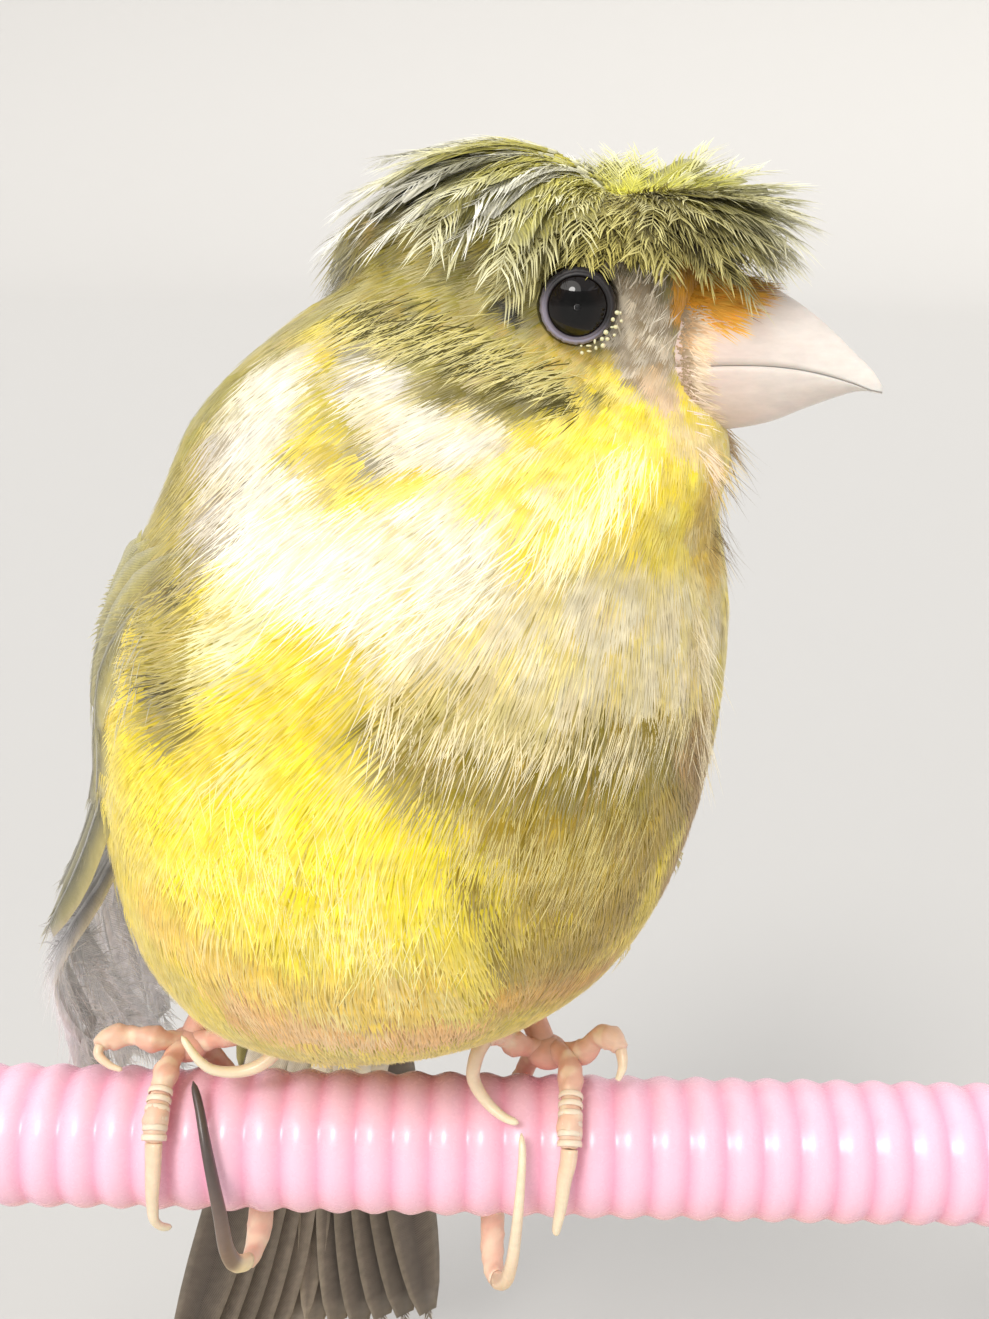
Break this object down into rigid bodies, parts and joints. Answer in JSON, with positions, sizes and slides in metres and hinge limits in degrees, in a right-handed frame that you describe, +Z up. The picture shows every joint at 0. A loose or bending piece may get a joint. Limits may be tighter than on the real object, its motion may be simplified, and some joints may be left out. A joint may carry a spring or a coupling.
{
  "type": "crested canary model",
  "caption": "Still life-size model of a crested canary gripping a short ribbed perch held on a plain display stand.",
  "frame": {"origin": "centre of the underside of the stand's base", "axes": "+Z up, +X along the perch to the bird's left, -Y out in front of the bird"},
  "size_m": [0.11, 0.0707, 0.1402],
  "materials": {
    "belly_feathers": "soft yellow plumage with an olive breast band",
    "collar_feathers": "soft white and pale yellow plumage",
    "head_feathers": "soft streaked olive and yellow plumage",
    "crest_feathers": "narrow olive feathers with pale tips",
    "wing_feathers": "grey-brown vanes with pale edges",
    "tail_feathers": "grey-brown vanes with pale edges",
    "eye": "glossy near-black",
    "bill": "satin pale pinkish horn",
    "leg_scales": "pale flesh-coloured scales",
    "claw": "satin pale horn",
    "perch_plastic": "glossy pink",
    "stand_wood": "pale satin",
    "stand_steel": "satin"
  },
  "bodies": {
    "root": {"torso": "belly_feathers", "neck": "collar_feathers", "head": "head_feathers", "crest": "crest_feathers", "wing_left": "wing_feathers", "wing_right": "wing_feathers", "tail": "tail_feathers", "eye_left": "eye", "eye_right": "eye", "bill_upper": "bill", "bill_lower": "bill", "leg_left": "leg_scales", "leg_right": "leg_scales", "foot_left": "leg_scales", "foot_right": "leg_scales", "claw_left_inner": "claw", "claw_left_middle": "claw", "claw_left_outer": "claw", "claw_left_hind": "claw", "claw_right_inner": "claw", "claw_right_middle": "claw", "claw_right_outer": "claw", "claw_right_hind": "claw", "perch": "perch_plastic", "stand_base": "stand_wood", "stand_rod_left": "stand_steel", "stand_rod_right": "stand_steel"}
  },
  "joints": []
}
